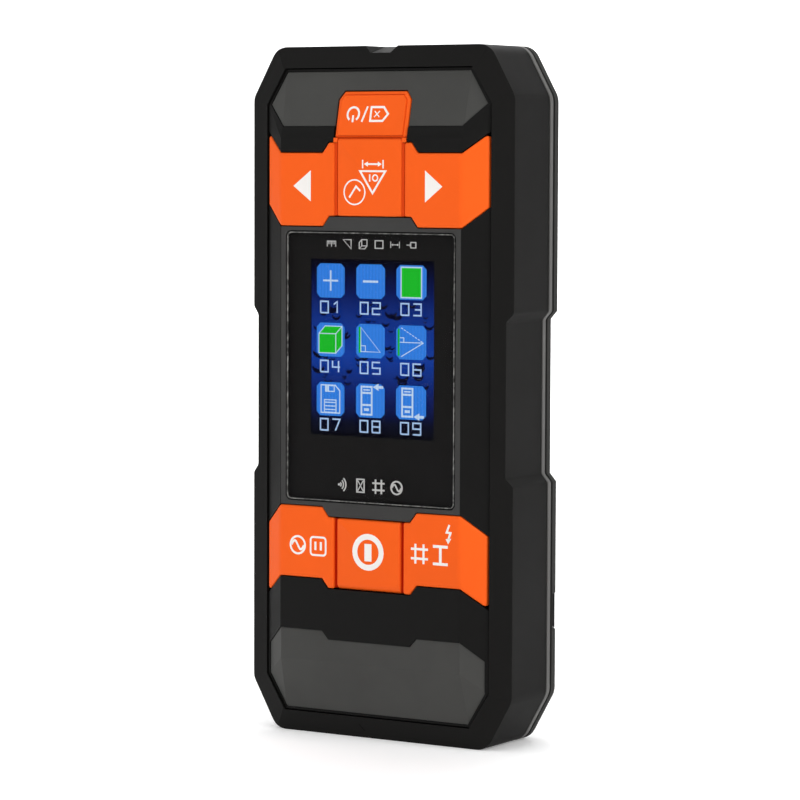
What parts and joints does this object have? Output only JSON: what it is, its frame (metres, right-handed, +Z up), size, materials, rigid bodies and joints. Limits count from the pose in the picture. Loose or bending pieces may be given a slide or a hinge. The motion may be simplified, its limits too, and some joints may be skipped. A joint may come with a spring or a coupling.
{
  "type": "stud finder",
  "caption": "Handheld wall scanner with laser distance meter: faceted black face, orange sprung keys, colour display, grey rear cover and charging port.",
  "frame": {"origin": "centre of the bounding box at the bottom end face, which the tool stands on", "axes": "+Z up along the body towards the sensing end, -Y out of the front face with the keys and display, +X to the right seen from the front"},
  "size_m": [0.069, 0.028, 0.1554],
  "materials": {
    "housing_black": "matte",
    "fascia_black": "satin",
    "shell_grey": "matte",
    "trim_grey": "satin",
    "key_orange": "satin",
    "mat_orange": "matte",
    "window_glass": "gloss",
    "lcd_glass": "gloss",
    "lcd_tray": "matte",
    "gasket_black": "matte",
    "flex_amber": "satin",
    "plunger_silicone": "matte",
    "board_green": "satin",
    "chip_black": "matte",
    "switch_black": "matte",
    "screw_steel": "satin",
    "socket_steel": "satin",
    "battery_foil": "satin",
    "foam_grey": "matte",
    "plug_white": "satin",
    "lead_red": "satin",
    "former_natural": "satin",
    "coil_copper": "satin",
    "chassis_alloy": "satin",
    "barrel_brass": "satin",
    "lens_glass": "gloss",
    "laser_pane": "gloss",
    "pad_grey": "matte",
    "plate_grey": "satin"
  },
  "bodies": {
    "root": {"front_housing": "housing_black", "seam_band": "shell_grey", "rear_cover": "shell_grey", "fascia": "fascia_black", "upper_trim": "trim_grey", "lower_trim": "trim_grey", "screen_surround": "trim_grey", "display_window": "window_glass", "window_gasket": "gasket_black", "lcd_panel": "lcd_glass", "lcd_backlight": "lcd_tray", "lcd_flex": "flex_amber", "upper_key_mat": "mat_orange", "lower_key_mat": "mat_orange", "main_board": "board_green", "switch_bodies": "switch_black", "board_chips": "chip_black", "board_screws": "screw_steel", "battery_pad": "foam_grey", "battery_cell": "battery_foil", "battery_plug": "plug_white", "battery_leads": "lead_red", "buzzer": "chip_black", "charge_board": "board_green", "usb_socket": "socket_steel", "usb_tongue": "chip_black", "sensor_board": "board_green", "coil_former": "former_natural", "detector_coil": "coil_copper", "laser_window": "laser_pane", "laser_chassis": "chassis_alloy", "laser_barrel": "barrel_brass", "laser_lens": "lens_glass", "receiver_lens": "lens_glass", "receiver_board": "board_green", "laser_screws": "screw_steel", "case_screws": "screw_steel", "glide_pads": "pad_grey", "rating_plate": "plate_grey"},
    "left_key": {"left_key_cap": "key_orange", "left_key_plunger": "plunger_silicone", "left_switch_stem": "switch_black"},
    "right_key": {"right_key_cap": "key_orange", "right_key_plunger": "plunger_silicone", "right_switch_stem": "switch_black"},
    "measure_key": {"measure_key_cap": "key_orange", "measure_key_plunger": "plunger_silicone", "measure_switch_stem": "switch_black"},
    "clear_key": {"clear_key_cap": "key_orange", "clear_key_plunger": "plunger_silicone", "clear_switch_stem": "switch_black"},
    "detect_key": {"detect_key_cap": "key_orange", "detect_key_plunger": "plunger_silicone", "detect_switch_stem": "switch_black"},
    "metal_key": {"metal_key_cap": "key_orange", "metal_key_plunger": "plunger_silicone", "metal_switch_stem": "switch_black"},
    "power_key": {"power_key_cap": "key_orange", "power_key_plunger": "plunger_silicone", "power_switch_stem": "switch_black"}
  },
  "joints": [
    {"name": "left_key_press", "type": "slide", "parent": "root", "child": "left_key", "axis": [0, 1, 0], "range_m": [0, 0.0005], "stiffness_N_per_m": 600, "springref_m": -0.0008},
    {"name": "right_key_press", "type": "slide", "parent": "root", "child": "right_key", "axis": [0, 1, 0], "range_m": [0, 0.0005], "stiffness_N_per_m": 600, "springref_m": -0.0008},
    {"name": "measure_key_press", "type": "slide", "parent": "root", "child": "measure_key", "axis": [0, 1, 0], "range_m": [0, 0.0005], "stiffness_N_per_m": 600, "springref_m": -0.0008},
    {"name": "clear_key_press", "type": "slide", "parent": "root", "child": "clear_key", "axis": [0, 1, 0], "range_m": [0, 0.0005], "stiffness_N_per_m": 600, "springref_m": -0.0008},
    {"name": "detect_key_press", "type": "slide", "parent": "root", "child": "detect_key", "axis": [0, 1, 0], "range_m": [0, 0.0005], "stiffness_N_per_m": 600, "springref_m": -0.0008},
    {"name": "metal_key_press", "type": "slide", "parent": "root", "child": "metal_key", "axis": [0, 1, 0], "range_m": [0, 0.0005], "stiffness_N_per_m": 600, "springref_m": -0.0008},
    {"name": "power_key_press", "type": "slide", "parent": "root", "child": "power_key", "axis": [0, 1, 0], "range_m": [0, 0.0005], "stiffness_N_per_m": 600, "springref_m": -0.0008}
  ]
}
